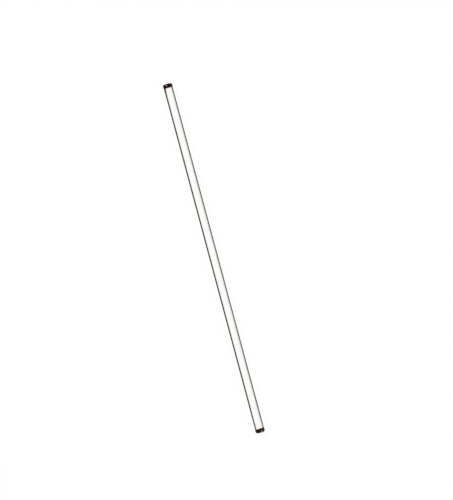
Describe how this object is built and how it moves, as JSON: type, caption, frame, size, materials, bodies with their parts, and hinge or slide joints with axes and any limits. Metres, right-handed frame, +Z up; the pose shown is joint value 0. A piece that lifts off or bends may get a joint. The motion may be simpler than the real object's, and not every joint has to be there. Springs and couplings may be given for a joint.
{
  "type": "glass stirring rod",
  "caption": "Long, slim, solid rod of clear glass with both ends melted round, for stirring liquids by hand.",
  "frame": {"origin": "on the rod's axis, halfway between its two tips", "axes": "+X along the rod towards its wider melted end, +Z up; the rod lies level"},
  "size_m": [0.2, 0.0054, 0.0054],
  "materials": {
    "glass": "clear, smooth, fire-polished at both ends"
  },
  "bodies": {
    "root": {"rod": "glass"}
  },
  "joints": []
}
